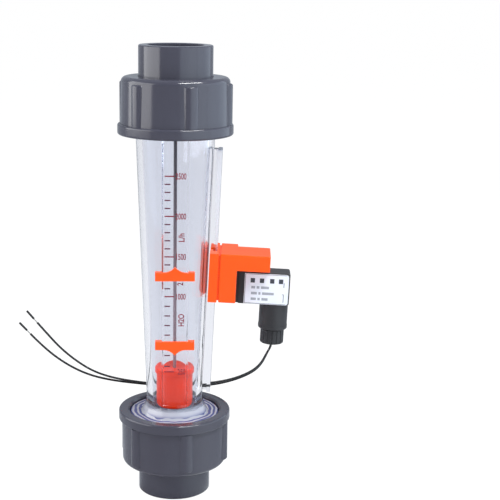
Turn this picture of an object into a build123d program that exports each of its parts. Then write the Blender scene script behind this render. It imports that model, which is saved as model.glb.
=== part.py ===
from build123d import *
from math import atan2, cos, degrees, pi, radians, sin, tan
import os

# Clear-tube rotameter with union ends, limit pointers and a clamped alarm switch.
# Millimetres. The flow axis is +Z, and the origin is the centre of the lower
# socket's end face. The scale looks along -Y and the alarm switch sits on +X.

# Length over both union ends, and the tapered measuring tube
overall_length = 264.0
tube_small_od = 32.3
tube_large_od = 45.4
tube_wall = 3.5
collar_length = 20.0
collar_edge = 0.8
skirt_height = 11.0
skirt_width = 3.9
top_root_radius = 2.5

# Pipe socket of a union end
pipe_od = 32.0
pipe_clearance = 0.1
socket_wall = 5.0
socket_depth = 22.0
socket_lead_in = 0.4
socket_edge = 0.5
stop_length = 6.5
flow_bore = 25.0

# Flange, seal and thread of the union
end_flange_thickness = 6.0
carrier_ledge = 1.3
seal_land = 0.6
seal_groove_width = 3.2
seal_groove_depth = 2.4
seal_lip = 0.9
seal_side_clearance = 0.1
seal_corner = 0.8
thread_depth = 1.2
thread_clearance = 0.1

# Union nut
nut_shoulder = 5.0
nut_hole_clearance = 0.3
nut_wall = 4.7
nut_draft = 0.5
nut_corner_radius = 3.0
nut_mouth_overhang = 1.6
nut_mouth_chamfer = 1.0
rim_height = 6.2
rim_step = 1.7
rim_edge_radius = 1.2
rib_count = 6
rib_radius = 4.9
rib_height = 1.5
rib_end_radius = 1.2
rib_inset = 3.2
upper_rib_angle = -74.0
lower_rib_angle = -77.0

# Guide rod, the two carriers that hold it and the sleeves that stop the float
rod_diameter = 3.0
rod_fit = 0.05
rod_end_wall = 2.0
carrier_thickness = 6.0
carrier_fit = 0.05
carrier_ring_inside = 1.5
carrier_arm_count = 3
carrier_arm_width = 2.4
hub_diameter = 9.0
stop_sleeve_length = 16.9
stop_sleeve_edge = 0.6

# Float
float_length = 25.0
float_body_diameter = 21.4
float_head_diameter = 23.2
float_head_height = 3.4
float_edge_radius = 0.7
float_nose_radius = 1.8
float_running_clearance = 0.08
float_cap_dish = 0.8
float_wall = 2.2
float_floor = 3.0
magnet_length = 9.0
magnet_fit = 0.1
spigot_length = 4.0

# Scale strip moulded on the front of the tube
strip_width = 15.0
strip_height = 1.4
strip_undercut = 0.9
strip_undercut_depth = 2.4
strip_root = 2.6
strip_low_margin = 8.5
strip_high_margin = 2.5

# Rail moulded on the right of the tube
rail_neck_width = 7.0
rail_neck_height = 2.35
rail_head_width = 14.0
rail_head_height = 2.3
rail_root = 1.6
rail_low_margin = 14.0
rail_high_margin = 9.5
rail_edge = 0.3
rail_azimuth = -3.5

# Limit pointers on the scale strip
pointer_width = 22.5
pointer_bar_height = 4.8
pointer_face = 1.65
pointer_hook_depth = 2.2
pointer_clearance = 0.12
pointer_arrow_height = 3.4
pointer_arrow_width = 12.0
pointer_arrow_sag = 0.9
pointer_edge = 0.4
upper_pointer_height = 133.3
lower_pointer_height = 97.0

# Rail clamp
module_height = 119.4
clamp_standoff = 0.6
clamp_thickness = 5.15
clamp_length = 28.5
clamp_depth = 30.0
clamp_clearance = 0.12
clamp_edge = 0.5
clamp_screw_diameter = 2.5
clamp_screw_head = 4.6
clamp_screw_grip = 8.0
clamp_screw_inset = 3.6
screw_fit = 0.05
screw_slot = 0.6

# Switch housing, an L over the plug
neck_height = 1.0
neck_inset = 1.1
limb_width = 9.8
arm_reach = 18.85
arm_height = 9.4
arm_depth = 23.7
housing_edge = 0.6
pocket_wall = 3.6
pocket_side = 7.0
pocket_end = 4.6

# Reed switch in its holder
holder_fit = 0.1
reed_diameter = 4.4
reed_length = 13.0
reed_lead_diameter = 1.0
reed_lead_length = 1.6
reed_from_tube = 3.2

# Plug, its gasket, insert and contacts
gasket_thickness = 1.5
gasket_inset = 0.4
plug_length = 29.6
plug_height = 18.9
plug_depth = 15.6
plug_drop = 1.6
plug_edge = 1.2
plug_back_radius = 3.0
plug_wall = 1.8
plug_end_wall = 4.6
insert_length = 12.0
insert_fit = 0.1
contact_thickness = 0.8
contact_width = 3.0
contact_pitch = 4.0
contact_reach = 6.0
contact_root = 3.0
plug_screw_diameter = 2.5
plug_screw_head = 5.0
plug_screw_head_height = 2.0
plug_screw_recess = 2.4
plug_screw_grip = 4.0

# Rating plate on the plug's front
plate_thickness = 0.4
plate_left_margin = 3.3
plate_right_margin = 0.8
plate_edge_margin = 0.3
plate_top_margin = 0.6
plate_corner_radius = 1.6

# Cable gland under the plug
gland_offset = 8.5
gland_diameter = 16.7
gland_length = 15.5
gland_collar_height = 2.6
gland_collar_step = 0.15
gland_edge = 0.5
gland_bore = 8.0
spigot_diameter = 11.5
gland_spigot = 6.1
gland_gap = 0.6
gland_nut_diameter = 13.8
gland_nut_height = 8.4
gland_nut_edge = 0.9
gland_nut_hole = 6.4
gland_nut_grooves = 16
gland_groove_radius = 0.3
seal_plug_length = 8.6
seal_plug_fit = 0.05
seal_plug_recess = 0.2

# Lead wires
wire_diameter = 1.3
wire_spacing = 1.7
conductor_diameter = 0.7
wire_lead_out = 2.5
stripped_length = 3.4
slug_length = 6.6

# The union, worked out from the tube's wide end outwards
tube_small_radius = tube_small_od / 2
tube_large_radius = tube_large_od / 2
bore_small_radius = tube_small_radius - tube_wall
bore_large_radius = tube_large_radius - tube_wall
seal_inner_radius = bore_large_radius + carrier_ledge + seal_land
seal_outer_radius = seal_inner_radius + seal_groove_width
flange_radius = seal_outer_radius + seal_lip
thread_radius = flange_radius + thread_depth + thread_clearance
nut_bore_radius = thread_radius + thread_clearance
nut_body_radius = nut_bore_radius + nut_wall
rim_radius = nut_body_radius + rim_step
socket_bore_radius = pipe_od / 2 + pipe_clearance
socket_radius = socket_bore_radius + socket_wall
end_length = socket_depth + stop_length
nut_low = end_length - end_flange_thickness - nut_shoulder
nut_height = nut_shoulder + end_flange_thickness + collar_length + nut_mouth_overhang

# Heights along the tube
tube_low = end_length
tube_high = overall_length - end_length
taper_low = tube_low + collar_length
taper_high = tube_high - collar_length
strip_low = taper_low + strip_low_margin
strip_high = taper_high - strip_high_margin
rail_low = taper_low + rail_low_margin
rail_high = taper_high - rail_high_margin
taper_slope = (tube_large_radius - tube_small_radius) / (taper_high - taper_low)
taper_angle = degrees(atan2(taper_slope, 1))
middle = Plane.XY.offset(overall_length / 2)
lower_stop = tube_low + carrier_thickness + stop_sleeve_length
upper_stop = tube_high - carrier_thickness - stop_sleeve_length
float_travel = upper_stop - lower_stop - float_length


def tube_radius(height):
    """Outer radius of the tapered tube at a height."""
    return tube_small_radius + (height - taper_low) * taper_slope


def bore_radius(height):
    """Inner radius of the tapered tube at a height."""
    return tube_radius(height) - tube_wall


def front_plane(height):
    """Plane across the strip: x points out of the tube, y to the right, z up the slope."""
    lean = radians(taper_angle)
    return Plane(
        origin=(0, -tube_radius(height), height),
        x_dir=(0, -cos(lean), -sin(lean)),
        z_dir=(0, -sin(lean), cos(lean)),
    )


def side_plane(height):
    """Plane across the rail: x points out of the tube, y to the back, z up the slope."""
    lean = radians(taper_angle)
    turn = radians(rail_azimuth)
    radius = tube_radius(height)
    return Plane(
        origin=(radius * cos(turn), radius * sin(turn), height),
        x_dir=(cos(lean) * cos(turn), cos(lean) * sin(turn), -sin(lean)),
        z_dir=(sin(lean) * cos(turn), sin(lean) * sin(turn), cos(lean)),
    )


# The switch's own plane, and helpers that place a sketch on it
module = side_plane(module_height)


def module_front(depth=0.0):
    """Plane that faces the viewer: x points out of the tube, y up the slope."""
    return Plane(
        origin=module.from_local_coords((0, -depth, 0)),
        x_dir=module.x_dir,
        z_dir=-module.y_dir,
    )


def module_out(reach):
    """Plane that faces out of the tube: x to the back, y up the slope."""
    return Plane(
        origin=module.from_local_coords((reach, 0, 0)),
        x_dir=module.y_dir,
        z_dir=module.x_dir,
    )


def socket_end():
    """Union end: a pipe socket with a flange that carries the seal's groove."""
    flange_low = end_length - end_flange_thickness
    with BuildPart() as end:
        with BuildSketch(Plane.XZ):
            with BuildLine():
                Polyline(
                    (socket_bore_radius, 0),
                    (socket_radius, 0),
                    (socket_radius, flange_low),
                    (flange_radius, flange_low),
                    (flange_radius, end_length),
                    (seal_outer_radius, end_length),
                    (seal_outer_radius, end_length - seal_groove_depth),
                    (seal_inner_radius, end_length - seal_groove_depth),
                    (seal_inner_radius, end_length),
                    (flow_bore / 2, end_length),
                    (flow_bore / 2, socket_depth),
                    (socket_bore_radius, socket_depth),
                    close=True,
                )
            make_face()
        revolve(axis=Axis.Z)
        mouth = end.edges().filter_by(GeomType.CIRCLE).group_by(Axis.Z)[0].sort_by(SortBy.RADIUS)
        chamfer(mouth[0], length=socket_lead_in)
        chamfer(mouth[-1], length=socket_edge)
    return end


def seal_ring():
    """Seal squeezed flat between the groove and the tube's end face."""
    inner = seal_inner_radius + seal_side_clearance
    outer = seal_outer_radius - seal_side_clearance
    with BuildPart() as ring:
        with BuildSketch(Plane.XZ):
            with Locations(((inner + outer) / 2, end_length - seal_groove_depth / 2)):
                RectangleRounded(outer - inner, seal_groove_depth, seal_corner)
        revolve(axis=Axis.Z)
    return ring


def union_nut(rib_angle):
    """Union nut: shoulder, drafted body with ribs, and a rim round the open mouth."""
    hole_radius = socket_radius + nut_hole_clearance
    top = nut_low + nut_height
    rim_low = top - rim_height
    rib_low = nut_low + rib_inset
    rib_centre = nut_body_radius + rib_height - rib_radius
    with BuildPart() as nut:
        with BuildSketch(Plane.XZ) as wall:
            with BuildLine():
                Polyline(
                    (hole_radius, nut_low),
                    (nut_body_radius - nut_draft, nut_low),
                    (nut_body_radius, rim_low),
                    (rim_radius, rim_low),
                    (rim_radius, top),
                    (nut_bore_radius + nut_mouth_chamfer, top),
                    (nut_bore_radius, top - nut_mouth_chamfer),
                    (nut_bore_radius, nut_low + nut_shoulder),
                    (hole_radius, nut_low + nut_shoulder),
                    close=True,
                )
            make_face()
            outer_corner = wall.vertices().group_by(Axis.Y)[0].sort_by(Axis.X)[-1]
            fillet(outer_corner, radius=nut_corner_radius)
            fillet(wall.vertices().sort_by(Axis.X)[-2:], radius=rim_edge_radius)
        revolve(axis=Axis.Z)
        with BuildSketch(Plane.XY.offset(rib_low)):
            with PolarLocations(rib_centre, rib_count, start_angle=rib_angle):
                Circle(rib_radius)
            Circle(nut_body_radius - rib_height, mode=Mode.SUBTRACT)
        extrude(amount=rim_low - rib_low)
        rib_ends = (
            nut.edges()
            .filter_by(GeomType.CIRCLE)
            .filter_by(lambda edge: abs(edge.radius - rib_radius) < 0.01)
            .group_by(Axis.Z)[0]
        )
        fillet(rib_ends, radius=rib_end_radius)
    return nut


def rod_carrier(bore):
    """Ring, arms and hub that hold the guide rod in the end of the tube."""
    ring_outside = bore + carrier_ledge - carrier_fit
    ring_inside = bore - carrier_ring_inside
    with BuildPart() as carrier:
        with BuildSketch(Plane.XY.offset(tube_low)):
            Circle(ring_outside)
            Circle(ring_inside, mode=Mode.SUBTRACT)
            with PolarLocations(0, carrier_arm_count, start_angle=180 / carrier_arm_count):
                Rectangle(
                    (ring_inside + ring_outside) / 2,
                    carrier_arm_width,
                    align=(Align.MIN, Align.CENTER),
                )
        extrude(amount=carrier_thickness)
        with BuildSketch(Plane.XY.offset(tube_low)):
            Circle(hub_diameter / 2)
        extrude(amount=carrier_thickness)
        with BuildSketch(Plane.XY.offset(tube_low + rod_end_wall)):
            Circle(rod_diameter / 2 + rod_fit)
        extrude(amount=carrier_thickness, mode=Mode.SUBTRACT)
    return carrier


def float_stop():
    """Sleeve on the rod that stands on the carrier and stops the float."""
    with BuildPart() as sleeve:
        with BuildSketch(Plane.XY.offset(tube_low + carrier_thickness)):
            Circle(hub_diameter / 2)
            Circle(rod_diameter / 2 + rod_fit, mode=Mode.SUBTRACT)
        extrude(amount=stop_sleeve_length)
        free_rim = sleeve.edges().group_by(Axis.Z)[-1].sort_by(SortBy.RADIUS)[-1]
        chamfer(free_rim, length=stop_sleeve_edge)
    return sleeve


def limit_pointer(height, direction):
    """Clip that grips the strip's undercut edges; its arrow points up (1) or down (-1)."""
    base = front_plane(height)
    slope = strip_undercut / strip_undercut_depth
    face_half = strip_width / 2 + pointer_clearance
    hook_half = face_half - slope * pointer_hook_depth
    face_in = strip_height + pointer_clearance
    hook_in = strip_height - pointer_hook_depth
    half = pointer_width / 2
    arrow_base = pointer_bar_height if direction > 0 else 0
    arrow_tip = arrow_base + direction * pointer_arrow_height
    sag = direction * pointer_arrow_sag
    arrow_half = pointer_arrow_width / 2
    front = Plane(
        origin=base.from_local_coords((face_in, 0, 0)),
        x_dir=base.y_dir,
        z_dir=base.x_dir,
    )
    with BuildPart() as pointer:
        with BuildSketch(base):
            with BuildLine():
                Polyline(
                    (hook_in, -half),
                    (face_in + pointer_face, -half),
                    (face_in + pointer_face, half),
                    (hook_in, half),
                    (hook_in, hook_half),
                    (face_in, face_half),
                    (face_in, -face_half),
                    (hook_in, -hook_half),
                    close=True,
                )
            make_face()
        extrude(amount=pointer_bar_height)
        side_edges = pointer.edges().filter_by(Axis(base.origin, base.z_dir)).sort_by(
            Axis(base.origin, base.x_dir)
        )[-2:]
        fillet(side_edges, radius=pointer_edge)
        with BuildSketch(front):
            with BuildLine():
                middle_height = (arrow_base + arrow_tip) / 2 - sag
                ThreePointArc(
                    (-arrow_half, arrow_base),
                    (-arrow_half / 2, middle_height),
                    (0, arrow_tip),
                )
                ThreePointArc(
                    (0, arrow_tip),
                    (arrow_half / 2, middle_height),
                    (arrow_half, arrow_base),
                )
                Polyline(
                    (arrow_half, arrow_base),
                    (arrow_half, arrow_base - direction),
                    (-arrow_half, arrow_base - direction),
                    (-arrow_half, arrow_base),
                )
            make_face()
        extrude(amount=pointer_face)
    return pointer


# Union ends, seals and nuts: the upper set is the lower one turned over
lower_socket_end = socket_end()
lower_socket_end.part.label = "lower_socket_end"
with BuildPart() as upper_socket_end:
    mirror(lower_socket_end.part, about=middle)
upper_socket_end.part.label = "upper_socket_end"

lower_seal_ring = seal_ring()
lower_seal_ring.part.label = "lower_seal_ring"
with BuildPart() as upper_seal_ring:
    mirror(lower_seal_ring.part, about=middle)
upper_seal_ring.part.label = "upper_seal_ring"

lower_union_nut = union_nut(lower_rib_angle)
lower_union_nut.part.label = "lower_union_nut"
turned_nut = union_nut(upper_rib_angle)
with BuildPart() as upper_union_nut:
    mirror(turned_nut.part, about=middle)
upper_union_nut.part.label = "upper_union_nut"

# Measuring tube: tapered wall, threaded collars, skirt, scale strip and rail in one moulding
skirt_top = taper_low + skirt_height
with BuildPart() as metering_tube:
    with BuildSketch(Plane.XZ):
        with BuildLine():
            Polyline(
                (0, tube_high),
                (0, tube_low),
                (thread_radius, tube_low),
                (thread_radius, taper_low - collar_edge),
                (thread_radius - collar_edge, taper_low),
                (tube_small_radius + skirt_width, taper_low),
            )
            TangentArc(
                (tube_radius(skirt_top), skirt_top),
                (tube_small_radius + skirt_width, taper_low),
                tangent=(-taper_slope, -1),
            )
            Polyline(
                (tube_radius(skirt_top), skirt_top),
                (tube_radius(taper_high - top_root_radius), taper_high - top_root_radius),
                (tube_radius(taper_high) + top_root_radius, taper_high),
                (thread_radius - collar_edge, taper_high),
                (thread_radius, taper_high + collar_edge),
                (thread_radius, tube_high),
                (0, tube_high),
            )
        make_face()
    revolve(axis=Axis.Z)
    with BuildSketch(front_plane(strip_low)):
        with BuildLine():
            half_face = strip_width / 2
            half_root = half_face - strip_undercut
            Polyline(
                (-strip_root, -half_root),
                (strip_height - strip_undercut_depth, -half_root),
                (strip_height, -half_face),
                (strip_height, half_face),
                (strip_height - strip_undercut_depth, half_root),
                (-strip_root, half_root),
                close=True,
            )
        make_face()
    extrude(amount=(strip_high - strip_low) / cos(radians(taper_angle)))
    with BuildSketch(side_plane(rail_low)) as rail_profile:
        with Locations((-rail_root, 0)):
            Rectangle(
                rail_root + rail_neck_height,
                rail_neck_width,
                align=(Align.MIN, Align.CENTER),
            )
        with Locations((rail_neck_height, 0)):
            Rectangle(rail_head_height, rail_head_width, align=(Align.MIN, Align.CENTER))
    extrude(amount=(rail_high - rail_low) / cos(radians(taper_angle)))
    rail_plane = side_plane(rail_low)
    rail_edges = metering_tube.edges().filter_by(Axis((0, 0, 0), rail_plane.z_dir))
    fillet(rail_edges.sort_by(Axis((0, 0, 0), rail_plane.x_dir))[-2:], radius=rail_edge)
    with BuildSketch(Plane.XZ):
        with BuildLine():
            Polyline(
                (0, tube_low),
                (bore_small_radius + carrier_ledge, tube_low),
                (bore_small_radius + carrier_ledge, tube_low + carrier_thickness),
                (bore_small_radius, tube_low + carrier_thickness),
                (bore_small_radius, taper_low),
                (bore_large_radius, taper_high),
                (bore_large_radius, tube_high - carrier_thickness),
                (bore_large_radius + carrier_ledge, tube_high - carrier_thickness),
                (bore_large_radius + carrier_ledge, tube_high),
                (0, tube_high),
                close=True,
            )
        make_face()
    revolve(axis=Axis.Z, mode=Mode.SUBTRACT)
metering_tube.part.label = "metering_tube"

# Guide rod, its carriers and the float's stops
lower_rod_carrier = rod_carrier(bore_small_radius)
lower_rod_carrier.part.label = "lower_rod_carrier"
turned_carrier = rod_carrier(bore_large_radius)
with BuildPart() as upper_rod_carrier:
    mirror(turned_carrier.part, about=middle)
upper_rod_carrier.part.label = "upper_rod_carrier"
lower_float_stop = float_stop()
lower_float_stop.part.label = "lower_float_stop"
with BuildPart() as upper_float_stop:
    mirror(lower_float_stop.part, about=middle)
upper_float_stop.part.label = "upper_float_stop"
with BuildPart() as guide_rod:
    with BuildSketch(Plane.XY.offset(tube_low + rod_end_wall)):
        Circle(rod_diameter / 2)
    extrude(amount=tube_high - tube_low - 2 * rod_end_wall)
guide_rod.part.label = "guide_rod"

# Float: a cup with a ring magnet, closed by a cap whose rim is the reading edge
float_low = lower_stop
float_high = float_low + float_length
head_low = float_high - float_head_height
body_radius = float_body_diameter / 2
guide_radius = rod_diameter / 2 + float_running_clearance
core_radius = guide_radius + float_wall
cup_radius = body_radius - float_wall
with BuildPart() as float_body:
    with BuildSketch(Plane.XZ) as cup:
        with BuildLine():
            Polyline(
                (guide_radius, float_low),
                (body_radius, float_low),
                (body_radius, head_low),
                (cup_radius, head_low),
                (cup_radius, float_low + float_floor),
                (core_radius, float_low + float_floor),
                (core_radius, head_low - spigot_length),
                (guide_radius, head_low - spigot_length),
                close=True,
            )
        make_face()
        nose = cup.vertices().group_by(Axis.Y)[0].sort_by(Axis.X)[-1]
        fillet(nose, radius=float_nose_radius)
    revolve(axis=Axis.Z)
float_body.part.label = "float_body"

with BuildPart() as float_cap:
    with BuildSketch(Plane.XZ) as lid:
        with BuildLine():
            Polyline(
                (guide_radius, head_low - spigot_length),
                (cup_radius - magnet_fit, head_low - spigot_length),
                (cup_radius - magnet_fit, head_low),
                (float_head_diameter / 2, head_low),
                (float_head_diameter / 2, float_high),
                (guide_radius, float_high - float_cap_dish),
                close=True,
            )
        make_face()
        fillet(lid.vertices().sort_by(Axis.X)[-2:], radius=float_edge_radius)
    revolve(axis=Axis.Z)
float_cap.part.label = "float_cap"

with BuildPart() as float_magnet:
    with BuildSketch(Plane.XY.offset(float_low + float_floor)):
        Circle(cup_radius - magnet_fit)
        Circle(core_radius + magnet_fit, mode=Mode.SUBTRACT)
    extrude(amount=magnet_length)
float_magnet.part.label = "float_magnet"

# Limit pointers
upper_limit_pointer = limit_pointer(upper_pointer_height, 1)
upper_limit_pointer.part.label = "upper_limit_pointer"
lower_limit_pointer = limit_pointer(lower_pointer_height - pointer_bar_height, -1)
lower_limit_pointer.part.label = "lower_limit_pointer"

# Rail clamp: a plate with a T-slot that runs on the rail
clamp_outer = clamp_standoff + clamp_thickness
clamp_half = clamp_depth / 2
screw_side = clamp_half - clamp_screw_inset
screw_places = [
    (side * screw_side, height)
    for side in (-1, 1)
    for height in (clamp_screw_inset + clamp_edge, clamp_length - clamp_screw_inset - clamp_edge)
]
with BuildPart() as rail_clamp:
    with BuildSketch(module) as section:
        with Locations((clamp_standoff, 0)):
            Rectangle(clamp_thickness, clamp_depth, align=(Align.MIN, Align.CENTER))
        fillet(section.vertices(), radius=clamp_edge)
        neck_slot = rail_neck_width + 2 * clamp_clearance
        head_slot = rail_head_width + 2 * clamp_clearance
        with Locations((0, 0)):
            Rectangle(
                rail_neck_height,
                neck_slot,
                align=(Align.MIN, Align.CENTER),
                mode=Mode.SUBTRACT,
            )
        with Locations((rail_neck_height - clamp_clearance, 0)):
            Rectangle(
                rail_head_height + 2 * clamp_clearance,
                head_slot,
                align=(Align.MIN, Align.CENTER),
                mode=Mode.SUBTRACT,
            )
    extrude(amount=clamp_length)
    with Locations(module_out(clamp_standoff)):
        with Locations([(side, height, 0) for side, height in screw_places]):
            with Locations(Rotation(180, 0, 0)):
                CounterSinkHole(
                    radius=clamp_screw_diameter / 2 + screw_fit,
                    counter_sink_radius=clamp_screw_head / 2 + screw_fit,
                    depth=clamp_thickness,
                )
rail_clamp.part.label = "rail_clamp"

# Switch housing: limb on the clamp, arm over the plug, pocket for the reed switch
limb_low = clamp_outer + neck_height
limb_high = limb_low + limb_width
arm_end = limb_high + arm_reach
arm_low = clamp_length - arm_height
plug_low = -plug_drop
plug_middle = plug_low + plug_height / 2
with BuildPart() as switch_housing:
    with BuildSketch(module_front(clamp_half)):
        with Locations((limb_low, 0)):
            Rectangle(limb_width, clamp_length, align=(Align.MIN, Align.MIN))
    extrude(amount=-clamp_depth)
    with BuildSketch(module_front(clamp_half)):
        with Locations((limb_low, arm_low)):
            Rectangle(arm_end - limb_low, arm_height, align=(Align.MIN, Align.MIN))
    extrude(amount=-arm_depth)
    fillet(switch_housing.edges(), radius=housing_edge)
    with BuildSketch(module_out(clamp_outer)):
        with Locations((0, clamp_length / 2)):
            Rectangle(clamp_depth - 2 * neck_inset, clamp_length - 2 * neck_inset)
    extrude(amount=limb_low - clamp_outer + housing_edge)
    with BuildSketch(module_out(clamp_outer)):
        with Locations((0, clamp_length / 2)):
            Rectangle(clamp_depth - 2 * pocket_side, clamp_length - 2 * pocket_end)
    extrude(amount=limb_high - pocket_wall - clamp_outer, mode=Mode.SUBTRACT)
    with BuildSketch(module_out(clamp_outer)):
        with Locations(screw_places):
            Circle(clamp_screw_diameter / 2 + screw_fit)
    extrude(amount=clamp_screw_grip, mode=Mode.SUBTRACT)
    with BuildSketch(module_out(limb_high)):
        with Locations((0, plug_middle)):
            Circle(plug_screw_diameter / 2 + screw_fit)
        contact_places = [
            (-contact_pitch, plug_middle),
            (contact_pitch, plug_middle),
        ]
        with Locations(contact_places):
            Rectangle(contact_thickness, contact_width)
        with Locations((0, plug_middle + contact_pitch)):
            Rectangle(contact_width, contact_thickness)
    extrude(amount=-contact_root, mode=Mode.SUBTRACT)
switch_housing.part.label = "switch_housing"

# Countersunk screws that hold the clamp to the housing
screw_length = clamp_thickness + clamp_screw_grip - screw_slot
head_height = (clamp_screw_head - clamp_screw_diameter) / 2
with BuildPart() as clamp_screws:
    with BuildSketch(module_out(clamp_standoff)):
        with Locations(screw_places):
            Circle(clamp_screw_diameter / 2)
    extrude(amount=screw_length)
    with BuildSketch(module_out(clamp_standoff)) as heads:
        with Locations(screw_places):
            Circle(clamp_screw_head / 2)
    extrude(amount=head_height, taper=45)
    with BuildSketch(module_out(clamp_standoff)):
        with Locations(screw_places):
            Rectangle(clamp_screw_head, screw_slot)
    extrude(amount=screw_slot, mode=Mode.SUBTRACT)
clamp_screws.part.label = "clamp_screws"

# Reed switch and its holder in the housing's pocket
pocket_reach = limb_high - pocket_wall
holder_low = clamp_outer
reed_out = clamp_outer + reed_from_tube
reed_hole = reed_diameter / 2 + holder_fit
with BuildPart() as reed_holder:
    with BuildSketch(module_front(0)):
        with Locations((holder_low, clamp_length / 2)):
            Rectangle(
                pocket_reach - holder_low - holder_fit,
                clamp_length - 2 * pocket_end - 2 * holder_fit,
                align=(Align.MIN, Align.CENTER),
            )
    extrude(amount=clamp_half - pocket_side - holder_fit, both=True)
    with BuildSketch(module.offset(pocket_end + holder_fit)):
        with Locations((reed_out, 0)):
            Circle(reed_hole)
    extrude(amount=clamp_length - 2 * pocket_end - 2 * holder_fit - rod_end_wall, mode=Mode.SUBTRACT)
reed_holder.part.label = "reed_holder"

reed_low = pocket_end + holder_fit + reed_lead_length
with BuildPart() as reed_switch:
    with BuildSketch(module.offset(reed_low)):
        with Locations((reed_out, 0)):
            Circle(reed_diameter / 2)
    extrude(amount=reed_length)
    fillet(reed_switch.edges().filter_by(GeomType.CIRCLE), radius=reed_diameter / 4)
    with BuildSketch(module.offset(reed_low - reed_lead_length)):
        with Locations((reed_out, 0)):
            Circle(reed_lead_diameter / 2)
    extrude(amount=reed_length + 2 * reed_lead_length)
reed_switch.part.label = "reed_switch"

# Plug gasket
plug_start = limb_high + gasket_thickness
plug_end = plug_start + plug_length
plug_half = plug_depth / 2
with BuildPart() as plug_gasket:
    with BuildSketch(module_out(limb_high)) as gasket_outline:
        with Locations((0, plug_middle)):
            Rectangle(plug_depth - 2 * gasket_inset, plug_height - 2 * gasket_inset)
            back_corners = gasket_outline.vertices().sort_by(Axis.X)[-2:]
            fillet(back_corners, radius=plug_back_radius - gasket_inset)
            Rectangle(
                plug_depth - 2 * plug_wall,
                plug_height - 2 * plug_wall,
                mode=Mode.SUBTRACT,
            )
    extrude(amount=gasket_thickness)
plug_gasket.part.label = "plug_gasket"

# Plug body with its cavity, gland barrel and threaded spigot
gland_out = plug_end - gland_offset
barrel_low = plug_low - gland_length
collar_high = barrel_low + gland_collar_height
with BuildPart() as plug_body:
    with BuildSketch(module_front(plug_half)):
        with Locations((plug_start, plug_low)):
            Rectangle(plug_length, plug_height, align=(Align.MIN, Align.MIN))
    extrude(amount=-plug_depth)
    long_edges = plug_body.edges().filter_by(Axis(module.origin, module.x_dir))
    back_edges = long_edges.sort_by(Axis(module.origin, module.y_dir))[-2:]
    fillet(back_edges, radius=plug_back_radius)
    outer_face = plug_body.faces().sort_by(Axis(module.origin, module.x_dir))[-1]
    fillet(outer_face.edges(), radius=plug_edge)
    long_edges = plug_body.edges().filter_by(Axis(module.origin, module.x_dir))
    front_edges = long_edges.sort_by(Axis(module.origin, module.y_dir))[:2]
    fillet(front_edges, radius=gasket_inset)
    with BuildSketch(module.offset(barrel_low)):
        with Locations((gland_out, 0)):
            Circle(gland_diameter / 2)
    extrude(amount=gland_length)
    with BuildSketch(module.offset(barrel_low)):
        with Locations((gland_out, 0)):
            Circle(gland_diameter / 2 + gland_collar_step)
    extrude(amount=gland_collar_height)
    barrel_end = plug_body.faces().sort_by(Axis(module.origin, module.z_dir))[0]
    chamfer(barrel_end.edges(), length=gland_edge)
    with BuildSketch(module.offset(barrel_low - gland_spigot)):
        with Locations((gland_out, 0)):
            Circle(spigot_diameter / 2)
    extrude(amount=gland_spigot)
    with BuildSketch(module_out(plug_start)):
        with Locations((0, plug_middle)):
            Rectangle(plug_depth - 2 * plug_wall, plug_height - 2 * plug_wall)
    extrude(amount=plug_length - plug_end_wall, mode=Mode.SUBTRACT)
    with BuildSketch(module.offset(barrel_low - gland_spigot)):
        with Locations((gland_out, 0)):
            Circle(gland_bore / 2)
    extrude(amount=gland_spigot + gland_length + plug_wall, mode=Mode.SUBTRACT)
    with Locations(module_out(plug_end)):
        with Locations((0, plug_middle, 0)):
            CounterBoreHole(
                radius=plug_screw_diameter / 2 + screw_fit,
                counter_bore_radius=plug_screw_head / 2 + insert_fit,
                counter_bore_depth=plug_screw_recess,
                depth=plug_end_wall,
            )
plug_body.part.label = "plug_body"

# Terminal insert inside the plug
insert_wide = plug_depth - 2 * plug_wall - 2 * insert_fit
insert_tall = plug_height - 2 * plug_wall - 2 * insert_fit
with BuildPart() as terminal_insert:
    with BuildSketch(module_out(plug_start)):
        with Locations((0, plug_middle)):
            Rectangle(insert_wide, insert_tall)
            Circle(plug_screw_diameter / 2 + screw_fit, mode=Mode.SUBTRACT)
        with Locations(contact_places):
            Rectangle(
                contact_thickness + 2 * insert_fit,
                contact_width + 2 * insert_fit,
                mode=Mode.SUBTRACT,
            )
        with Locations((0, plug_middle + contact_pitch)):
            Rectangle(
                contact_width + 2 * insert_fit,
                contact_thickness + 2 * insert_fit,
                mode=Mode.SUBTRACT,
            )
    extrude(amount=insert_length)
terminal_insert.part.label = "terminal_insert"

# Contact blades that stand out of the housing into the insert
with BuildPart() as contact_blades:
    with BuildSketch(module_out(limb_high - contact_root)):
        with Locations(contact_places):
            Rectangle(contact_thickness, contact_width)
        with Locations((0, plug_middle + contact_pitch)):
            Rectangle(contact_width, contact_thickness)
    extrude(amount=contact_root + gasket_thickness + contact_reach)
contact_blades.part.label = "contact_blades"

# Screw through the plug into the housing
screw_tip = limb_high - plug_screw_grip + contact_root / 3
screw_seat = plug_end - plug_screw_recess
with BuildPart() as plug_screw:
    with BuildSketch(module_out(screw_tip)):
        with Locations((0, plug_middle)):
            Circle(plug_screw_diameter / 2)
    extrude(amount=screw_seat - screw_tip)
    with BuildSketch(module_out(screw_seat)):
        with Locations((0, plug_middle)):
            Circle(plug_screw_head / 2)
    extrude(amount=plug_screw_head_height)
    fillet(
        plug_screw.faces().sort_by(Axis(module.origin, module.x_dir))[-1].edges(),
        radius=screw_slot / 2,
    )
    with BuildSketch(module_out(screw_seat + plug_screw_head_height)):
        with Locations((0, plug_middle)):
            Rectangle(plug_screw_head, screw_slot)
    extrude(amount=-screw_slot, mode=Mode.SUBTRACT)
plug_screw.part.label = "plug_screw"

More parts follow.
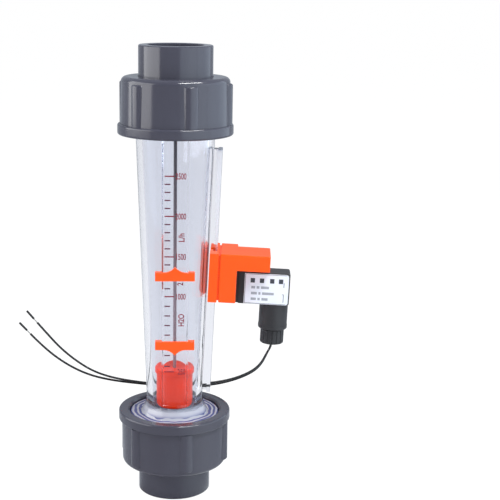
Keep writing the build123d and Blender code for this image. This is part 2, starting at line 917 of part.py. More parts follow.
# Rating plate, flat on the plug's front
plate_start = plug_start + plate_left_margin
plate_end = plug_end - plate_right_margin
plate_low = plug_low + plate_edge_margin
plate_high = plug_low + plug_height - plate_top_margin
with BuildPart() as rating_plate:
    with BuildSketch(module_front(plug_half)) as plate_face:
        with Locations((plate_start, plate_low)):
            Rectangle(
                plate_end - plate_start,
                plate_high - plate_low,
                align=(Align.MIN, Align.MIN),
            )
        fillet(plate_face.vertices().sort_by(Axis.X)[-2:], radius=plate_corner_radius)
    extrude(amount=plate_thickness)
rating_plate.part.label = "rating_plate"

# Gland nut with its grip grooves
gland_nut_high = barrel_low - gland_gap
gland_nut_low = gland_nut_high - gland_nut_height
with BuildPart() as gland_nut:
    with BuildSketch(module.offset(gland_nut_low)):
        with Locations((gland_out, 0)):
            Circle(gland_nut_diameter / 2)
    extrude(amount=gland_nut_height)
    fillet(
        gland_nut.faces().sort_by(Axis(module.origin, module.z_dir))[0].edges(),
        radius=gland_nut_edge,
    )
    with BuildSketch(module.offset(gland_nut_low + gland_nut_edge)):
        with Locations((gland_out, 0)):
            with PolarLocations(gland_nut_diameter / 2, gland_nut_grooves):
                Circle(gland_groove_radius)
    extrude(amount=gland_nut_height, mode=Mode.SUBTRACT)
    with BuildSketch(module.offset(gland_nut_high)):
        with Locations((gland_out, 0)):
            Circle(spigot_diameter / 2 + thread_clearance)
    extrude(amount=gland_gap - gland_spigot - thread_clearance, mode=Mode.SUBTRACT)
    with BuildSketch(module.offset(gland_nut_low)):
        with Locations((gland_out, 0)):
            Circle(gland_nut_hole / 2)
    extrude(amount=gland_nut_height, mode=Mode.SUBTRACT)
gland_nut.part.label = "gland_nut"

# Rubber seal squeezed in the gland; the wires come out of its end
seal_low = gland_nut_low + seal_plug_recess
seal_step = barrel_low - gland_spigot
with BuildPart() as gland_seal:
    with BuildSketch(module.offset(seal_step)):
        with Locations((gland_out, 0)):
            Circle(gland_bore / 2 - seal_plug_fit)
    extrude(amount=seal_plug_length)
    with BuildSketch(module.offset(seal_low)):
        with Locations((gland_out, 0)):
            Circle(gland_nut_hole / 2 - seal_plug_fit)
    extrude(amount=seal_step - seal_low)
gland_seal.part.label = "gland_seal"

# Lead wires: points chosen along their run from the gland, behind the tube, to the free ends
wire_exits = [
    module.from_local_coords((gland_out, side * wire_spacing / 2, seal_low)) for side in (-1, 1)
]
wire_routes = {
    "lead_wire_1": [
        (54.4, -2.4, 84.5),
        (51.8, 5.0, 75.8),
        (47.4, 13.6, 68.2),
        (39.3, 22.6, 61.1),
        (30.1, 30.0, 56.0),
        (20.0, 35.6, 52.6),
        (5.0, 38.0, 51.0),
        (-10.5, 37.6, 51.5),
        (-25.0, 35.6, 53.9),
        (-38.5, 32.6, 57.4),
        (-50.2, 29.0, 62.8),
        (-60.2, 24.9, 70.9),
        (-69.2, 21.0, 80.2),
        (-77.0, 17.8, 90.6),
        (-82.2, 15.6, 97.8),
    ],
    "lead_wire_2": [
        (54.7, 0.0, 83.6),
        (52.3, 8.0, 74.5),
        (48.0, 16.8, 66.5),
        (39.8, 25.6, 59.3),
        (30.2, 32.4, 54.0),
        (20.4, 37.2, 50.7),
        (4.8, 39.8, 49.6),
        (-11.0, 39.4, 50.2),
        (-25.6, 36.8, 52.5),
        (-39.2, 33.2, 55.6),
        (-51.6, 28.9, 60.1),
        (-62.6, 24.2, 66.9),
        (-72.9, 19.7, 75.7),
        (-81.6, 15.9, 85.4),
        (-86.2, 13.9, 91.3),
    ],
}


def route_radii(points):
    """Bend radius at each inner point: as large as its two runs allow."""
    radii = []
    for before, here, after in zip(points, points[1:], points[2:]):
        run_in = Vector(here) - Vector(before)
        run_out = Vector(after) - Vector(here)
        half_turn = radians(run_in.get_angle(run_out)) / 2
        radii.append(0.45 * min(run_in.length, run_out.length) / tan(half_turn))
    return radii


def round_bar(start, direction, diameter, length):
    """Round bar from a point along a direction."""
    with BuildPart() as bar:
        with BuildSketch(Plane(origin=start, z_dir=direction)):
            Circle(diameter / 2)
        extrude(amount=length)
    return bar


wires = []
for wire_name, wire_exit in zip(wire_routes, wire_exits):
    first_bend = wire_exit - module.z_dir * wire_lead_out
    points = [tuple(wire_exit), tuple(first_bend)] + wire_routes[wire_name]
    radii = route_radii(points)
    with BuildPart() as wire:
        with BuildLine():
            route = FilletPolyline(*points, radius=radii)
        with BuildSketch(Plane(origin=points[0], z_dir=route % 0)):
            Circle(wire_diameter / 2)
        sweep()
    wire.part.label = wire_name
    expected = pi * (wire_diameter / 2) ** 2 * route.length
    print(wire_name, "from", [round(value, 2) for value in points[0]], [round(v, 2) for v in points[1]])
    print(wire_name, "length", round(route.length, 1), "tightest", round(min(radii), 1))
    print("  radii", [round(value, 1) for value in radii])
    print("  volume over section times length", round(wire.part.volume / expected, 4))
    number = wire_name[-1]
    wire_end = Vector(*points[-1])
    heading = (wire_end - Vector(*points[-2])).normalized()
    conductor = round_bar(wire_end, heading, conductor_diameter, stripped_length)
    conductor.part.label = "lead_conductor_" + number
    slug_start = wire_end + heading * stripped_length
    slug = round_bar(slug_start, heading, wire_diameter, slug_length)
    slug.part.label = "lead_slug_" + number
    wires += [wire, conductor, slug]

# Write each piece to its own file
pieces = [
    lower_socket_end,
    upper_socket_end,
    lower_seal_ring,
    upper_seal_ring,
    lower_union_nut,
    upper_union_nut,
    metering_tube,
    lower_rod_carrier,
    upper_rod_carrier,
    lower_float_stop,
    upper_float_stop,
    guide_rod,
    float_body,
    float_cap,
    float_magnet,
    upper_limit_pointer,
    lower_limit_pointer,
    rail_clamp,
    switch_housing,
    clamp_screws,
    reed_holder,
    reed_switch,
    plug_gasket,
    plug_body,
    terminal_insert,
    contact_blades,
    plug_screw,
    rating_plate,
    gland_nut,
    gland_seal,
] + wires
os.makedirs("parts", exist_ok=True)
for piece in pieces:
    export_step(piece.part, "parts/" + piece.part.label + ".step")
print("float travel", round(float_travel, 2), "taper", round(taper_angle, 3))
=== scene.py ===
from math import atan2, cos, radians, sin

import bpy
import numpy as np
from mathutils import Matrix, Vector


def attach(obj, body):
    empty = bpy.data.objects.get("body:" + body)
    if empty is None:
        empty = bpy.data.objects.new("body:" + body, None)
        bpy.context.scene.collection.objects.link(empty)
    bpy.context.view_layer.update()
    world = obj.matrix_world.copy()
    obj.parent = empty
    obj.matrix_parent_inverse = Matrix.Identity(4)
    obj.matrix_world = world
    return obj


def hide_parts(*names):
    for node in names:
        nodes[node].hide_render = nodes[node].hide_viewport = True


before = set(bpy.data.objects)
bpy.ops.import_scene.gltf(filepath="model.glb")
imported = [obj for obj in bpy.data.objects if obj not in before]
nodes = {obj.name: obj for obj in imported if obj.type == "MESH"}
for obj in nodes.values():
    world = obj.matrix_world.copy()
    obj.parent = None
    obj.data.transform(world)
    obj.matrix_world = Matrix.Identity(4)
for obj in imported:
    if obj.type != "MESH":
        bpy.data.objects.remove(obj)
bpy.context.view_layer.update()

scene = bpy.context.scene
scene.view_settings.view_transform = "Standard"
MM = 0.001

# Sizes that the dressing shares with the solids, in millimetres
TAPER_LOW, TAPER_HIGH = 48.5, 215.5
SMALL_RADIUS, LARGE_RADIUS = 16.15, 22.7
SLOPE = (LARGE_RADIUS - SMALL_RADIUS) / (TAPER_HIGH - TAPER_LOW)
LEAN = atan2(SLOPE, 1)
STRIP_FACE = 1.4
RAIL_TURN = radians(-3.5)
SWITCH_HEIGHT = 119.4
PLATE_LEFT, PLATE_RIGHT = 21.35, 46.85
PLATE_LOW, PLATE_HIGH = -1.3, 16.7
PLATE_FACE = 8.2


def tube_radius(height):
    """Outer radius of the tapered tube: it grows in a straight line with height."""
    return SMALL_RADIUS + (height - TAPER_LOW) * SLOPE


# Camera: where the photograph was taken from. Its place is in metres, its turns in degrees,
# its focal length and middle in picture dots, and its sensor in millimetres
CAMERA_PLACE = (0, -0.68857, 0.3021)
CAMERA_YAW, CAMERA_PITCH, CAMERA_ROLL = 2.712, 12.73, 0.82
PICTURE_WIDTH = 500
FOCAL_LENGTH = 1214.71
MIDDLE_COLUMN = 231.2
SENSOR_WIDTH = 36


def place_camera():
    """Pinhole camera that looks along its yaw and down by its pitch, then turned by its roll."""
    yaw, pitch, roll = radians(CAMERA_YAW), radians(CAMERA_PITCH), radians(CAMERA_ROLL)
    forward = Vector((sin(yaw) * cos(pitch), cos(yaw) * cos(pitch), -sin(pitch)))
    level = Vector((cos(yaw), -sin(yaw), 0))
    upright = level.cross(forward)
    right = cos(roll) * level + sin(roll) * upright
    up = -sin(roll) * level + cos(roll) * upright
    data = bpy.data.cameras.new("viewpoint")
    data.sensor_width = SENSOR_WIDTH
    data.lens = SENSOR_WIDTH * FOCAL_LENGTH / PICTURE_WIDTH
    data.shift_x = (PICTURE_WIDTH / 2 - MIDDLE_COLUMN) / PICTURE_WIDTH
    data.clip_end = 20
    camera = bpy.data.objects.new("viewpoint", data)
    scene.collection.objects.link(camera)
    turn = Matrix((right, up, -forward)).transposed().to_4x4()
    camera.matrix_world = Matrix.Translation(CAMERA_PLACE) @ turn
    scene.camera = camera


place_camera()

# Lead wires, in millimetres: from the gland, round the back of the tube, to the bared ends
WIRE_THICKNESS = 1.3
WIRE_ROUTES = {
    1: [
        (56.88, -4.33, 91.99),
        (56.78, -4.32, 89.49),
        (54.4, -2.4, 84.5),
        (51.8, 5.0, 75.8),
        (47.4, 13.6, 68.2),
        (39.3, 22.6, 61.1),
        (30.1, 30.0, 56.0),
        (20.0, 35.6, 52.6),
        (5.0, 38.0, 51.0),
        (-10.5, 37.6, 51.5),
        (-25.0, 35.6, 53.9),
        (-38.5, 32.6, 57.4),
        (-50.2, 29.0, 62.8),
        (-60.2, 24.9, 70.9),
        (-69.2, 21.0, 80.2),
        (-77.0, 17.8, 90.6),
        (-82.2, 15.6, 97.8),
    ],
    2: [
        (56.98, -2.63, 91.99),
        (56.88, -2.63, 89.49),
        (54.7, 0.0, 83.6),
        (52.3, 8.0, 74.5),
        (48.0, 16.8, 66.5),
        (39.8, 25.6, 59.3),
        (30.2, 32.4, 54.0),
        (20.4, 37.2, 50.7),
        (4.8, 39.8, 49.6),
        (-11.0, 39.4, 50.2),
        (-25.6, 36.8, 52.5),
        (-39.2, 33.2, 55.6),
        (-51.6, 28.9, 60.1),
        (-62.6, 24.2, 66.9),
        (-72.9, 19.7, 75.7),
        (-81.6, 15.9, 85.4),
        (-86.2, 13.9, 91.3),
    ],
}


def lead_wire(number):
    """Round wire along a NURBS curve whose control points are the route's points.

    The bevel is 1 m times each point's radius, so the curve's box grows by the wire's radius alone.
    """
    curve = bpy.data.curves.new(f"wire_{number}", "CURVE")
    curve.dimensions = "3D"
    curve.resolution_u = 8
    curve.bevel_depth = 1.0
    curve.bevel_resolution = 4
    curve.use_fill_caps = True
    route = WIRE_ROUTES[number]
    spline = curve.splines.new("NURBS")
    spline.points.add(len(route) - 1)
    for point, place in zip(spline.points, route):
        point.co = (place[0] * MM, place[1] * MM, place[2] * MM, 1)
        point.radius = WIRE_THICKNESS / 2 * MM
    spline.order_u = 3
    spline.use_endpoint_u = True
    spline.use_smooth = True
    wire = bpy.data.objects.new(f"wire_{number}", curve)
    scene.collection.objects.link(wire)
    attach(wire, "alarm_module")
    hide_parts(f"lead_wire_{number}")
    return wire


wires = [lead_wire(number) for number in WIRE_ROUTES]


# Materials
def tone(red, green, blue):
    """Linear colour of an 8-bit display colour."""
    share = np.array([red, green, blue]) / 255
    linear = np.where(share <= 0.04045, share / 12.92, ((share + 0.055) / 1.055) ** 2.4)
    return (*(float(value) for value in linear), 1.0)


class Level:
    """A shader socket in plain arithmetic: each operator adds the Math node that it names."""

    def __init__(self, finish, socket):
        self.finish = finish
        self.socket = socket

    def __add__(self, other):
        return self.finish.math("ADD", self, other)

    def __sub__(self, other):
        return self.finish.math("SUBTRACT", self, other)

    def __rsub__(self, other):
        return self.finish.math("SUBTRACT", other, self)

    def __mul__(self, other):
        return self.finish.math("MULTIPLY", self, other)

    __radd__ = __add__
    __rmul__ = __mul__


class Finish:
    """The nodes of one material, or of the world."""

    def __init__(self, name, kind="materials"):
        self.owner = getattr(bpy.data, kind).new(name)
        self.owner.use_nodes = True
        self.tree = self.owner.node_tree
        self.tree.nodes.clear()
        self.place = None

    def node(self, kind, settings=None, inputs=None):
        """One node: its settings first, then each socket's value or link."""
        made = self.tree.nodes.new(kind)
        for name, value in (settings or {}).items():
            setattr(made, name, value)
        for name, value in (inputs or {}).items():
            if isinstance(value, Level):
                self.tree.links.new(value.socket, made.inputs[name])
            else:
                made.inputs[name].default_value = value
        return made

    def level(self, made, output=0):
        """An output as something to reckon with."""
        return Level(self, made.outputs[output])

    def math(self, operation, *terms):
        """Math node on numbers and levels."""
        return self.level(self.node("ShaderNodeMath", {"operation": operation}, dict(enumerate(terms))))

    def vector(self, operation, *terms, output=0):
        """Vector Math node; its output 1 is a number, such as a length."""
        made = self.node("ShaderNodeVectorMath", {"operation": operation}, dict(enumerate(terms)))
        return self.level(made, output)

    def clamped(self, value):
        """A level kept between 0 and 1."""
        return self.level(self.node("ShaderNodeClamp", {}, {0: value}))

    def blend(self, share, first, second):
        """Colour between two colours."""
        made = self.node("ShaderNodeMix", {"data_type": "RGBA"}, {0: share, 6: first, 7: second})
        return self.level(made, 2)

    def where(self):
        """The piece's own coordinates, in metres."""
        if self.place is None:
            self.place = self.level(self.node("ShaderNodeTexCoord"), "Object")
        return self.place

    def stretched(self, across, along):
        """The piece's coordinates scaled across and along the flow axis."""
        made = self.node("ShaderNodeMapping", {}, {0: self.where(), 3: (across, across, along)})
        return self.level(made)

    def noise(self, scale, detail=2.0, rough=0.5, place=None):
        """Soft noise from 0 to 1 with features of about 1 / scale metres."""
        made = self.node(
            "ShaderNodeTexNoise",
            {},
            {"Vector": place or self.where(), "Scale": scale, "Detail": detail, "Roughness": rough},
        )
        return self.level(made)

    def bump(self, height, distance):
        """Surface relief from a height level, as deep as the distance in metres."""
        made = self.node("ShaderNodeBump", {}, {"Height": height, "Distance": distance, "Strength": 1.0})
        return self.level(made)

    def parts(self, place):
        """Node with the X, Y and Z of a place or direction."""
        return self.node("ShaderNodeSeparateXYZ", {}, {0: place})

    def principled(self, **inputs):
        """Principled surface, with underscores for the spaces in socket names."""
        named = {name.replace("_", " "): value for name, value in inputs.items()}
        return self.level(self.node("ShaderNodeBsdfPrincipled", {}, named))

    def ray(self, *kinds):
        """1 where the ray is of one of these kinds, otherwise 0."""
        path = self.node("ShaderNodeLightPath")
        share = self.level(path, kinds[0])
        for kind in kinds[1:]:
            share = share + self.level(path, kind)
        return self.clamped(share)

    def mixed(self, share, first, second):
        """Shader between two shaders."""
        return self.level(self.node("ShaderNodeMixShader", {}, {0: share, 1: first, 2: second}))

    def done(self, surface, output="ShaderNodeOutputMaterial"):
        """Send a surface to the output and give back the material or world."""
        self.node(output, {}, {"Surface": surface})
        return self.owner


def moulded_plastic(name, colour, flow_colour, gloss, grain, grain_height, shine=0.5):
    """Moulded plastic: faint flow streaks in the colour, fine grain and uneven gloss.

    gloss is the mean roughness, grain the number of grains in a metre, and shine the mirror's level.
    """
    f = Finish(name)
    streak = f.noise(60, 3.0, 0.55, f.stretched(1.0, 0.25))
    cloud = f.noise(25)
    share = f.clamped((streak * 0.6 + cloud * 0.4 - 0.35) * 2.2)
    fine = f.noise(grain, 2.0, 0.6)
    rough = gloss + (cloud - 0.5) * 0.08 + (fine - 0.5) * 0.05
    swell = f.noise(140, 1.0)
    return f.done(
        f.principled(
            Base_Color=f.blend(share, colour, flow_colour),
            Roughness=rough,
            Normal=f.bump(fine * 0.5 + swell, grain_height),
            Specular_IOR_Level=shine,
        )
    )


# Where the clear moulding is milky, in metres: both end collars, the rings of painted refraction in
# them, and the rail.
# The rings' phase is in radians per metre
FOOT_TOP, HEAD_LOW = 0.0538, 0.2135
REFRACTION_RINGS_START = 0.0182
REFRACTION_RING_PHASE = 2450
RAIL_START, RAIL_TOP = 0.0232, 0.2053


def clear_plastic(name, tint):
    """Clear moulded plastic with slow waves, milky in its collars and faintly so in its rail.

    A collar's rings are painted refraction: dark violet arcs where sin(phase * radius + drift) is high,
    with radius the distance from the flow axis and drift a slow noise that bends them. Each mask rises
    from 0 to 1 past its edge, by the number it is multiplied by for each metre.
    """
    f = Finish(name)
    wave = f.noise(28, 1.0, 0.4, f.stretched(1.0, 0.12))
    glass = f.principled(
        Base_Color=tint,
        Roughness=0.02,
        IOR=1.49,
        Transmission_Weight=1.0,
        Specular_IOR_Level=0.15,
        Normal=f.bump(wave, 0.00025),
    )
    place = f.parts(f.where())
    height = f.level(place, "Z")
    collar = f.clamped(f.math("MAXIMUM", FOOT_TOP - height, height - HEAD_LOW) * 700)
    flat = f.vector("MULTIPLY", f.where(), (1, 1, 0))
    radius = f.vector("LENGTH", flat, output=1)
    drift = (f.noise(75) - 0.5) * 11
    outer = f.clamped((radius - REFRACTION_RINGS_START) * 800)
    # Painted refraction: dark violet rings in the collars stand in for light bent by the thick plastic
    painted_refraction_rings = f.clamped(f.math("SINE", radius * REFRACTION_RING_PHASE + drift) * 3.2 + 1.3) * outer * collar
    cut_end = f.clamped((height - RAIL_TOP) * 4000)
    rail = f.clamped((f.level(place, "X") - RAIL_START) * 3000) * (0.16 + cut_end * 0.7)
    # The pale lavender is the milky collar; the dark violet is the painted refraction colour
    milk = f.principled(
        Base_Color=f.blend(painted_refraction_rings, (0.72, 0.73, 0.83, 1), (0.05, 0.06, 0.2, 1)),
        Roughness=0.15,
    )
    solid = f.mixed(f.math("MAXIMUM", collar * (0.5 + painted_refraction_rings * 0.45), rail), glass, milk)
    through = f.level(f.node("ShaderNodeBsdfTransparent", {}, {"Color": (0.95, 0.955, 0.975, 1)}))
    return f.done(f.mixed(f.ray("Is Shadow Ray", "Is Diffuse Ray"), solid, through))


def milky_plastic():
    """Translucent white moulding, faintly blue, with soft clouds."""
    f = Finish("milky moulding")
    cloud = f.noise(180)
    return f.done(
        f.principled(
            Base_Color=f.blend(cloud, (0.78, 0.81, 0.88, 1), (0.66, 0.69, 0.80, 1)),
            Roughness=0.25 + cloud * 0.1,
            Transmission_Weight=0.2,
            IOR=1.49,
        )
    )


def metal(name, colour, rough):
    """Drawn or turned metal with fine lines along its length."""
    f = Finish(name)
    line = f.noise(900, 2.0, 0.6, f.stretched(1.0, 0.05))
    darker = tuple(0.7 * value for value in colour[:3]) + (1,)
    return f.done(
        f.principled(
            Base_Color=f.blend(line, colour, darker),
            Metallic=1.0,
            Roughness=rough + (line - 0.5) * 0.2,
            Normal=f.bump(line, 0.00002),
        )
    )


def rod_metal():
    """Guide rod: drawn steel with painted reflection: dark up high where it mirrors the union nut, paler
    and warmer towards its lower end.
    """
    f = Finish("rod steel")
    line = f.noise(900, 2.0, 0.6, f.stretched(1.0, 0.05))
    # Painted reflection: this share turns the base colour from dark at the top to pale and warm low down
    low = f.clamped((0.21 - f.level(f.parts(f.where()), "Z")) * 9)
    return f.done(
        f.principled(
            # The dark and the pale warm tone are painted reflection, not a film on the steel
            Base_Color=f.blend(low, tone(44, 43, 50), tone(158, 138, 142)),
            Metallic=0.4,
            Roughness=0.35 + (line - 0.5) * 0.2,
            Normal=f.bump(line, 0.00002),
        )
    )


def printed_ink(name, colour):
    """Screen-printed ink, slightly uneven in depth."""
    f = Finish(name)
    depth = f.noise(2500)
    paler = tuple(min(1, 1.5 * value + 0.03) for value in colour[:3]) + (1,)
    return f.done(
        f.principled(
            Base_Color=f.blend(f.clamped((depth - 0.4) * 1.5), colour, paler),
            Roughness=0.4 + depth * 0.1,
        )
    )


grey_pvc = moulded_plastic("grey pipe plastic", tone(64, 64, 75), tone(68, 69, 80), 0.14, 2600, 0.00001)
orange = moulded_plastic(
    "orange moulding", tone(250, 84, 2), tone(246, 79, 2), 0.36, 3000, 0.00001, shine=0.35
)
float_orange = moulded_plastic(
    "float plastic", tone(255, 56, 4), tone(252, 46, 2), 0.3, 3000, 0.00001, shine=0.1
)
black_plastic = moulded_plastic(
    "black moulding", tone(40, 40, 43), tone(45, 45, 48), 0.42, 5200, 0.00006
)
rubber = moulded_plastic("seal rubber", tone(34, 34, 37), tone(40, 40, 43), 0.6, 3500, 0.00004)
insulation = moulded_plastic("wire insulation", tone(30, 31, 32), tone(38, 39, 40), 0.35, 2500, 0.00003)
film = moulded_plastic("plate film", tone(228, 232, 243), tone(223, 228, 239), 0.3, 2000, 0.00001)
rod_steel = rod_metal()
steel = metal("screw steel", tone(150, 150, 156), 0.3)
tinned = metal("tinned copper", tone(215, 212, 205), 0.35)
clear = clear_plastic("clear moulding", (0.79, 0.805, 0.86, 1))
milky = milky_plastic()
scale_ink = printed_ink("scale ink", tone(122, 2, 34))
mark_ink = printed_ink("mark ink", tone(86, 22, 50))
plate_ink = printed_ink("plate ink", tone(52, 56, 66))
pale_ink = printed_ink("pale plate ink", tone(150, 154, 164))

NODE_FINISHES = {
    "lower_socket_end": grey_pvc,
    "upper_socket_end": grey_pvc,
    "lower_union_nut": grey_pvc,
    "upper_union_nut": grey_pvc,
    "lower_seal_ring": rubber,
    "upper_seal_ring": rubber,
    "metering_tube": clear,
    "lower_rod_carrier": milky,
    "upper_rod_carrier": milky,
    "lower_float_stop": milky,
    "upper_float_stop": milky,
    "guide_rod": rod_steel,
    "float_body": float_orange,
    "float_cap": float_orange,
    "float_magnet": steel,
    "upper_limit_pointer": orange,
    "lower_limit_pointer": orange,
    "rail_clamp": orange,
    "switch_housing": orange,
    "clamp_screws": steel,
    "reed_holder": black_plastic,
    "reed_switch": clear,
    "plug_gasket": rubber,
    "plug_body": black_plastic,
    "terminal_insert": black_plastic,
    "contact_blades": tinned,
    "plug_screw": steel,
    "rating_plate": film,
    "gland_nut": black_plastic,
    "gland_seal": rubber,
    "lead_conductor_1": tinned,
    "lead_conductor_2": tinned,
    "lead_slug_1": insulation,
    "lead_slug_2": insulation,
}


def cover(piece, material):
    """Give a piece one material."""
    slots = piece.data.materials
    if len(slots):
        for index in range(len(slots)):
            slots[index] = material
    else:
        slots.append(material)


for node_name, finish in NODE_FINISHES.items():
    cover(nodes[node_name], finish)
for wire in wires:
    cover(wire, insulation)


# Print: every bar and letter is a thin solid of ink on a flat face, in millimetres
INK_GAP = 0.014
INK_HALF = 0.01
CAPITAL_SHARE = 0.69


def new_piece(name, mesh, ink, body):
    """A piece of print, in an ink, that rides on a body."""
    mesh.materials.append(ink)
    piece = bpy.data.objects.new(name, mesh)
    scene.collection.objects.link(piece)
    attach(piece, body)


def on_strip(across, height):
    """Placing rule for the strip: x to the right, y up, from a point on its face."""

    def place(flat):
        up = height + flat[:, 1]
        out = STRIP_FACE / cos(LEAN) + INK_GAP + flat[:, 2]
        return np.stack([across + flat[:, 0], -(tube_radius(up) + out), up], 1) * MM

    return place


def on_plate():
    """Placing rule for the rating plate: x to the right, y up, from its lower left corner."""
    level = Matrix.Rotation(RAIL_TURN, 3, "Z") @ Matrix.Rotation(LEAN, 3, "Y")
    out, back, rise = (np.array(level @ Vector(axis)) for axis in ((1, 0, 0), (0, 1, 0), (0, 0, 1)))
    foot = np.array([cos(RAIL_TURN), sin(RAIL_TURN), 0]) * tube_radius(SWITCH_HEIGHT)
    foot = foot + np.array([0, 0, SWITCH_HEIGHT])

    def place(flat):
        reach = (PLATE_LEFT + flat[:, 0])[:, None] * out
        height = (PLATE_LOW + flat[:, 1])[:, None] * rise
        depth = -(PLATE_FACE + INK_GAP + flat[:, 2])[:, None] * back
        return (foot + reach + height + depth) * MM

    return place


def ink_bars(name, bars, place, ink, body):
    """Rectangles of ink: each has a left, right, low and high edge on its face."""
    corners, faces = [], []
    for left, right, low, high in bars:
        start = len(corners)
        for lift in (-INK_HALF, INK_HALF):
            corners += [(left, low, lift), (right, low, lift), (right, high, lift), (left, high, lift)]
        faces += [[start + 4, start + 5, start + 6, start + 7], [start + 3, start + 2, start + 1, start]]
        for side in range(4):
            after = (side + 1) % 4
            faces.append([start + side, start + after, start + 4 + after, start + 4 + side])
    mesh = bpy.data.meshes.new(name)
    mesh.from_pydata(place(np.array(corners)), [], faces)
    mesh.update()
    mesh.polygons.foreach_set("use_smooth", np.ones(len(mesh.polygons), bool))
    mesh.set_sharp_from_angle(angle=radians(35))
    new_piece(name, mesh, ink, body)


def lettering(name, words, height, place, narrow, bold, turned=False):
    """Words on the scale in the plain built-in face, placed by a rule.

    narrow is the share of the face's own width, and bold the growth of each stroke's edge.
    """
    curve = bpy.data.curves.new(name, "FONT")
    curve.body = words
    curve.size = height / CAPITAL_SHARE * MM
    curve.extrude = INK_HALF * MM
    curve.offset = bold * MM
    curve.resolution_u = 4
    holder = bpy.data.objects.new(name + "_curve", curve)
    scene.collection.objects.link(holder)
    bpy.context.view_layer.update()
    mesh = bpy.data.meshes.new_from_object(holder.evaluated_get(bpy.context.evaluated_depsgraph_get()))
    bpy.data.objects.remove(holder)
    flat = np.empty(len(mesh.vertices) * 3, np.float32)
    mesh.vertices.foreach_get("co", flat)
    flat = flat.reshape(-1, 3) / MM
    flat[:, 0] *= narrow
    if turned:
        flat = np.stack([-flat[:, 1], flat[:, 0], flat[:, 2]], 1)
    mesh.vertices.foreach_set("co", place(flat).astype(np.float32).ravel())
    mesh.update()
    new_piece(name, mesh, scale_ink, "meter")


# The flow scale, in millimetres: measured flows with their heights, then the marks, the numbers,
# and each word with its place across, its height and its narrowing
SCALE_POINTS = [(250, 78.3), (500, 94.9), (1000, 123.7), (2000, 170.5), (2500, 193.3)]
NUMBERED_FLOWS = (250, 500, 1000, 1500, 2000, 2500)
SMALL_FLOWS = [flow for flow in range(300, 2500, 100) if flow not in NUMBERED_FLOWS]
MARK_LEFT, LONG_MARK_RIGHT, SHORT_MARK_RIGHT = -5.95, -0.45, -2.7
MARK_HALF = 0.36
NUMBER_HEIGHT, NUMBER_NARROW, NUMBER_BOLD = 3.4, 0.61, 0.09
LONG_NUMBER_LEFT, SHORT_NUMBER_LEFT = 0.15, 1.7
WORD_HEIGHT, WORD_BOLD = 3.2, 0.1
SCALE_WORDS = {
    "scale_unit": ("L/h", 5.2, 155.6, 0.9),
    "scale_medium": ("H2O", 5.2, 105.8, 0.8),
    "scale_range": ("2", 4.6, 130.2, 0.8),
}


def scale_height(flow):
    """Height of a flow mark: straight lines between the measured marks."""
    flows, heights = zip(*SCALE_POINTS)
    return float(np.interp(flow, flows, heights))


def scale_marks(name, flows, right, ink):
    """One bar for each flow, from the common left edge to its own right edge."""
    heights = [scale_height(flow) for flow in flows]
    bars = [(MARK_LEFT, right, height - MARK_HALF, height + MARK_HALF) for height in heights]
    ink_bars(name, bars, on_strip(0, 0), ink, "meter")


def print_scale():
    """Marks, numbers and unit of the flow scale."""
    scale_marks("long_marks", NUMBERED_FLOWS, LONG_MARK_RIGHT, scale_ink)
    scale_marks("short_marks", SMALL_FLOWS, SHORT_MARK_RIGHT, mark_ink)
    for flow in NUMBERED_FLOWS:
        left = LONG_NUMBER_LEFT if flow > 999 else SHORT_NUMBER_LEFT
        place = on_strip(left, scale_height(flow) - NUMBER_HEIGHT / 2)
        name = f"scale_number_{flow}"
        lettering(name, str(flow), NUMBER_HEIGHT, place, NUMBER_NARROW, NUMBER_BOLD)
    for name, (words, across, height, narrow) in SCALE_WORDS.items():
        place = on_strip(across, height)
        lettering(name, words, WORD_HEIGHT, place, narrow, WORD_BOLD, turned=True)


# The rating plate's print, in millimetres from the plate's lower left corner
PLATE_WIDTH, PLATE_HEIGHT = PLATE_RIGHT - PLATE_LEFT, PLATE_HIGH - PLATE_LOW
BLOCK_LEFTS = (3.4, 8.7, 14.6, 19.7)
BLOCK_WIDTH = 2.5
BLOCK_LOW, BLOCK_HIGH = PLATE_HEIGHT - 5.4, PLATE_HEIGHT - 2.7
LINE_LEFT, LINE_HEIGHT, WORD_GAP = 4.0, 1.5, 0.9
LINE_WORDS = {9.1: (2.2, 1.6, 4.6), 5.6: (3.4, 1.2, 6.8), 2.2: (3.0, 1.4, 3.6)}
SIGN_LEFT = PLATE_WIDTH - 2.9
SIGN_BARS = [
    (SIGN_LEFT, SIGN_LEFT + 0.35, 10.4, 13.2),
    (SIGN_LEFT, SIGN_LEFT + 0.35, 1.6, 6.4),
    (SIGN_LEFT - 0.7, SIGN_LEFT, 6.1, 6.4),
]
EDGE_BARS = [
    (0.3, PLATE_WIDTH - 1.2, 0.25, 0.5),
    (0.3, PLATE_WIDTH - 1.2, PLATE_HEIGHT - 0.5, PLATE_HEIGHT - 0.25),
    (0.3, 0.55, 0.5, PLATE_HEIGHT - 0.5),
]


def word_bars():
    """Bars in place of words: each line has its own low edge and word lengths."""
    bars = []
    for low, lengths in LINE_WORDS.items():
        left = LINE_LEFT
        for length in lengths:
            bars.append((left, left + length, low, low + LINE_HEIGHT))
            left += length + WORD_GAP
    return bars


def print_plate():
    """Plain blocks and lines instead of the plate's words, a make-contact sign and an edge line."""
    blocks = [(left, left + BLOCK_WIDTH, BLOCK_LOW, BLOCK_HIGH) for left in BLOCK_LEFTS]
    ink_bars("plate_heading", blocks, on_plate(), plate_ink, "alarm_module")
    ink_bars("plate_lines", word_bars(), on_plate(), pale_ink, "alarm_module")
    ink_bars("plate_sign", SIGN_BARS, on_plate(), plate_ink, "alarm_module")
    ink_bars("plate_edge", EDGE_BARS, on_plate(), plate_ink, "alarm_module")


print_scale()
print_plate()


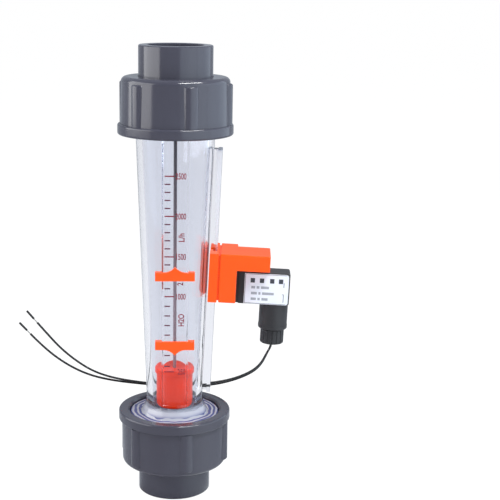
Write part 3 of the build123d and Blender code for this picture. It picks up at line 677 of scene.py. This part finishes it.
# Floor and light: white to the camera, and to gloss a room with a dark front
WHITE = (1, 1, 1)
DARK_FRONT = (0.08, 0.085, 0.11)
GREY_FLOOR = (0.32, 0.31, 0.35)
PALE_RIGHT = (0.88, 0.95, 1.0)
GREY_BACK = (0.42, 0.46, 0.52)
THROUGH_FRONT = (0.6, 0.63, 0.7)
COOL = (0.72, 0.87, 1)
FLOOR_REACH = 60.0
FLOOR_GLOW = 0.95


def room(f, direction, front, right, back):
    """Colour of the room in a direction, from its tones in front, on the right and at the back.

    The back's share is 1.6 y + 0.75 and the right's share 1.7 x - 0.2, both kept from 0 to 1.
    """
    toward = f.parts(direction)
    behind = f.clamped(f.level(toward, "Y") * 1.6 + 0.75)
    beside = f.clamped(f.level(toward, "X") * 1.7 - 0.2)
    return f.blend(behind, f.blend(beside, (*front, 1), (*right, 1)), (*back, 1))


def seen_light(f, direction, front):
    """What the camera, gloss and clear plastic see of the room: white, mirrored, or through."""
    glossy = room(f, direction, front, PALE_RIGHT, GREY_BACK)
    through = room(f, direction, THROUGH_FRONT, THROUGH_FRONT, WHITE)
    colour = f.blend(f.ray("Is Transmission Ray"), glossy, through)
    return f.blend(f.ray("Is Camera Ray"), colour, (*WHITE, 1))


def stage_floor():
    """Wide flat floor, white to the camera and behind the clear tube, with the object's shadow."""
    reach = FLOOR_REACH
    mesh = bpy.data.meshes.new("floor")
    corners = [(-reach, -reach, 0), (reach, -reach, 0), (reach, reach, 0), (-reach, reach, 0)]
    mesh.from_pydata(corners, [], [(0, 1, 2, 3)])
    f = Finish("studio floor")
    plain = f.level(f.node("ShaderNodeBsdfDiffuse", {}, {"Color": (0.8, 0.8, 0.8, 1)}))
    shaded = f.level(f.node("ShaderNodeBsdfDiffuse", {}, {"Color": (0.12, 0.12, 0.12, 1)}))
    colour = seen_light(f, f.vector("NORMALIZE", f.where()), GREY_FLOOR)
    glow = f.level(f.node("ShaderNodeEmission", {}, {"Color": colour, "Strength": FLOOR_GLOW}))
    seen = f.level(f.node("ShaderNodeAddShader", {}, {0: shaded, 1: glow}))
    looks = f.ray("Is Camera Ray", "Is Glossy Ray", "Is Transmission Ray")
    mesh.materials.append(f.done(f.mixed(looks, plain, seen)))
    floor = bpy.data.objects.new("floor", mesh)
    scene.collection.objects.link(floor)


def soft_light(name, place, aim, width, height, watts, colour=WHITE):
    """Flat soft light that faces a point."""
    data = bpy.data.lights.new(name, "AREA")
    data.shape = "RECTANGLE"
    data.size = width
    data.size_y = height
    data.energy = watts
    data.color = colour
    light = bpy.data.objects.new(name, data)
    scene.collection.objects.link(light)
    ray = Vector(aim) - Vector(place)
    light.matrix_world = Matrix.Translation(place) @ ray.to_track_quat("-Z", "Y").to_matrix().to_4x4()


def studio_world():
    """White to the camera, the room to gloss and clear plastic, even and soft to the rest."""
    f = Finish("studio", "worlds")
    direction = f.level(f.node("ShaderNodeTexCoord"), "Generated")
    colour = seen_light(f, direction, DARK_FRONT)
    seen = f.level(f.node("ShaderNodeBackground", {}, {"Color": colour, "Strength": 1.0}))
    pale = (0.95, 0.97, 1.0, 1)
    even = f.level(f.node("ShaderNodeBackground", {}, {"Color": pale, "Strength": 0.42}))
    looks = f.ray("Is Camera Ray", "Is Glossy Ray", "Is Transmission Ray")
    scene.world = f.done(f.mixed(looks, even, seen), "ShaderNodeOutputWorld")


stage_floor()
studio_world()
soft_light("left_panel", (-0.65, -0.1, 0.4), (0, 0, 0.3), 0.84, 0.54, 4.75)
soft_light("front_right_panel", (0.64, -0.77, 0.35), (0, 0, 0.15), 1.06, 0.9, 2.8, COOL)
soft_light("right_panel", (0.98, 0.17, 0.35), (0, 0, 0.15), 1.25, 0.9, 4.0, COOL)
soft_light("top_panel", (0.33, -0.32, 0.95), (0, 0, 0.15), 0.6, 0.14, 9.0)
